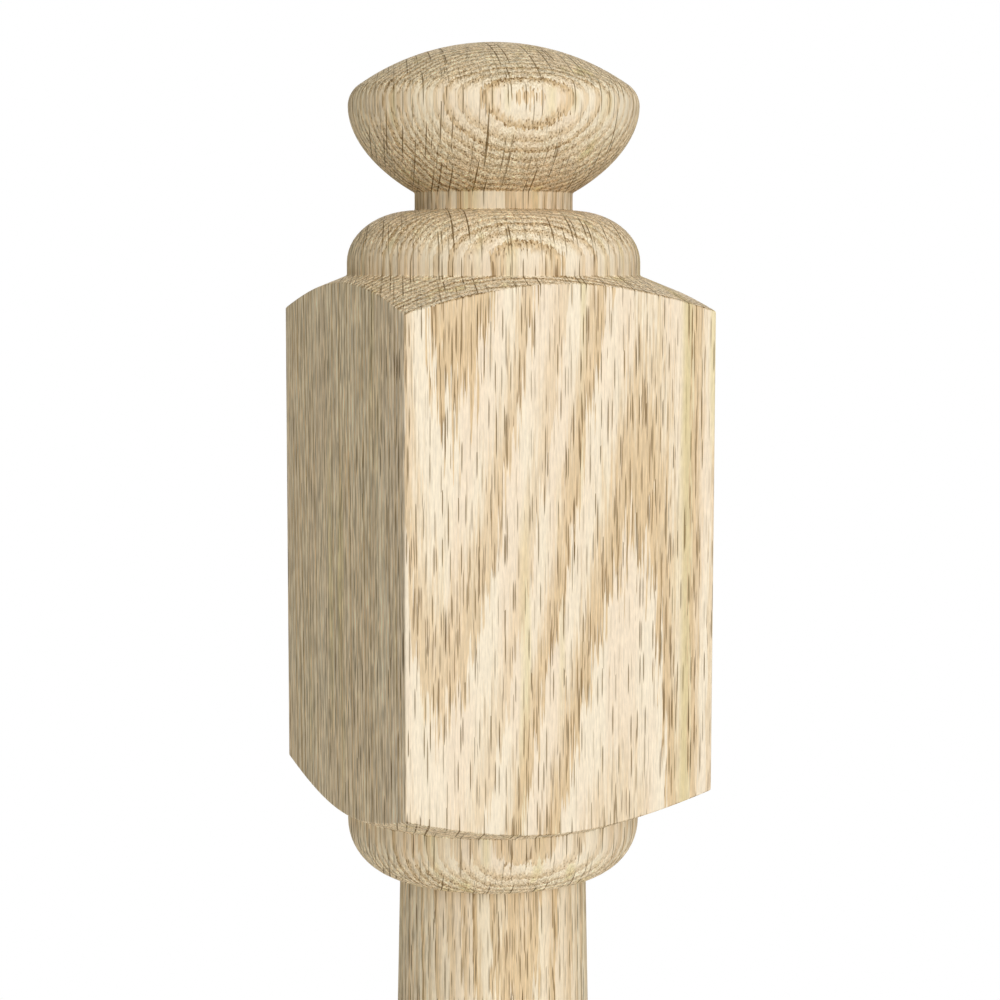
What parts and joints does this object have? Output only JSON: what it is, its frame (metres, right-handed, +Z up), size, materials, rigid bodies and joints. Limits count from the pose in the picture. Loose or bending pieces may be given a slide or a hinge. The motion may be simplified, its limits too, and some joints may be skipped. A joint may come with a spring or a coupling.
{
  "type": "newel post",
  "caption": "Turned oak stair newel post with a square base, tapered round shaft, square upper block with arched shoulders and a mushroom cap.",
  "frame": {"origin": "middle of the flat square underside, on the floor", "axes": "+Z up along the post's axis; the four flat faces of the squares look along +X, -X, +Y and -Y"},
  "size_m": [0.0762, 0.0762, 1.0922],
  "materials": {
    "oak": "bare sanded oak, unfinished"
  },
  "bodies": {
    "root": {"newel_post": "oak"}
  },
  "joints": []
}
